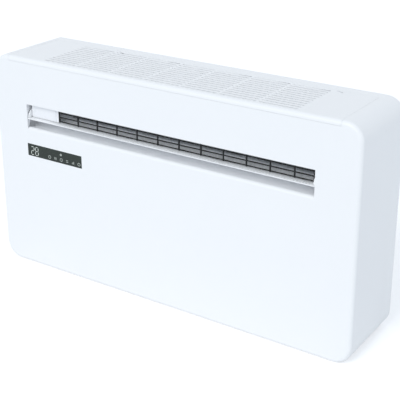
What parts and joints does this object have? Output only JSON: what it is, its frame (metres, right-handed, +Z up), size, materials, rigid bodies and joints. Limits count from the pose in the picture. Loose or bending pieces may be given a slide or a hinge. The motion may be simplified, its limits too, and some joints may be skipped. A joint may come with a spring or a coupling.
{
  "type": "monoblock air conditioner",
  "caption": "Flat wall-hung air conditioner in one white casing: slotted lift-off top intake, swinging outlet flap over a scoop, dark display window, duct collars behind.",
  "frame": {"origin": "middle of the casing's underside, half way between the front face and the wall plane", "axes": "+X along the front from left to right as seen by the user, +Y from the front to the wall, +Z up"},
  "size_m": [1, 0.215, 0.555],
  "materials": {
    "white_shell": "satin, lightly textured white",
    "white_flap": "satin white",
    "white_guide": "satin white",
    "filter_plastic": "satin grey",
    "filter_net": "fine woven net",
    "black_guard": "satin black",
    "fan_plastic": "satin dark grey",
    "display_glass": "polished dark tinted",
    "steel": "polished rod",
    "galvanised": "galvanised sheet",
    "fins": "fine fins",
    "copper": "drawn copper tube",
    "motor_metal": "painted grey",
    "compressor_black": "painted black",
    "rubber": "moulded",
    "foam": "moulded foam",
    "grey_plastic": "satin grey",
    "board": "circuit board",
    "back_paint": "powder coated light grey"
  },
  "bodies": {
    "cabinet": {"front_cover": "white_shell", "flap_motor": "grey_plastic", "outlet_guard": "black_guard", "guard_end_cover": "white_guide", "air_guide": "white_guide", "duct_ceiling": "white_guide", "room_fan_bearing": "rubber", "room_fan_motor": "motor_metal", "motor_cradle": "grey_plastic", "evaporator_core": "fins", "evaporator_plates": "galvanised", "evaporator_bends": "copper", "drip_tray": "grey_plastic", "divider": "foam", "base_pan": "galvanised", "bulkhead_left": "galvanised", "bulkhead_right": "galvanised", "back_plate": "back_paint", "back_screws": "steel", "wall_bracket": "galvanised", "duct_collars": "grey_plastic", "drain_spigot": "grey_plastic", "cable_gland": "grey_plastic", "condenser_core": "fins", "condenser_bends": "copper", "condenser_shroud": "galvanised", "scroll_front": "grey_plastic", "outdoor_scroll": "grey_plastic", "scroll_rear": "grey_plastic", "inlet_ring": "grey_plastic", "outdoor_fan_motor": "motor_metal", "compressor": "compressor_black", "compressor_grommets": "rubber", "compressor_bolts": "steel", "accumulator": "compressor_black", "four_way_valve": "copper", "discharge_pipe": "copper", "suction_pipe": "copper", "liquid_pipe": "copper", "electrical_box": "galvanised", "electrical_lid": "galvanised", "control_board": "board", "capacitor": "grey_plastic", "display_window": "display_glass", "display_board": "board"},
    "flap": {"flap_blade": "white_flap", "flap_pin": "steel", "flap_drive_shaft": "steel"},
    "room_fan": {"room_fan_wheel": "fan_plastic", "room_fan_shaft": "steel"},
    "outdoor_fan": {"outdoor_impeller": "fan_plastic", "outdoor_fan_shaft": "steel"},
    "intake_grille": {"top_panel": "white_shell", "filter_left": "filter_plastic", "filter_right": "filter_plastic", "filter_mesh": "filter_net"}
  },
  "joints": [
    {"name": "flap_swing", "type": "hinge", "parent": "cabinet", "child": "flap", "pos_m": [0, -0.089, 0.4175], "axis": [1, 0, 0], "range_deg": [-90, 10]},
    {"name": "room_fan_spin", "type": "hinge", "parent": "cabinet", "child": "room_fan", "pos_m": [0, 0.01, 0.45201], "axis": [1, 0, 0], "continuous": true},
    {"name": "outdoor_fan_spin", "type": "hinge", "parent": "cabinet", "child": "outdoor_fan", "pos_m": [0.035, 0.06, 0.165], "axis": [0, 1, 0], "continuous": true},
    {"name": "grille_lift", "type": "slide", "parent": "cabinet", "child": "intake_grille", "axis": [0, 0, 1], "range_m": [0, 0.08]}
  ]
}
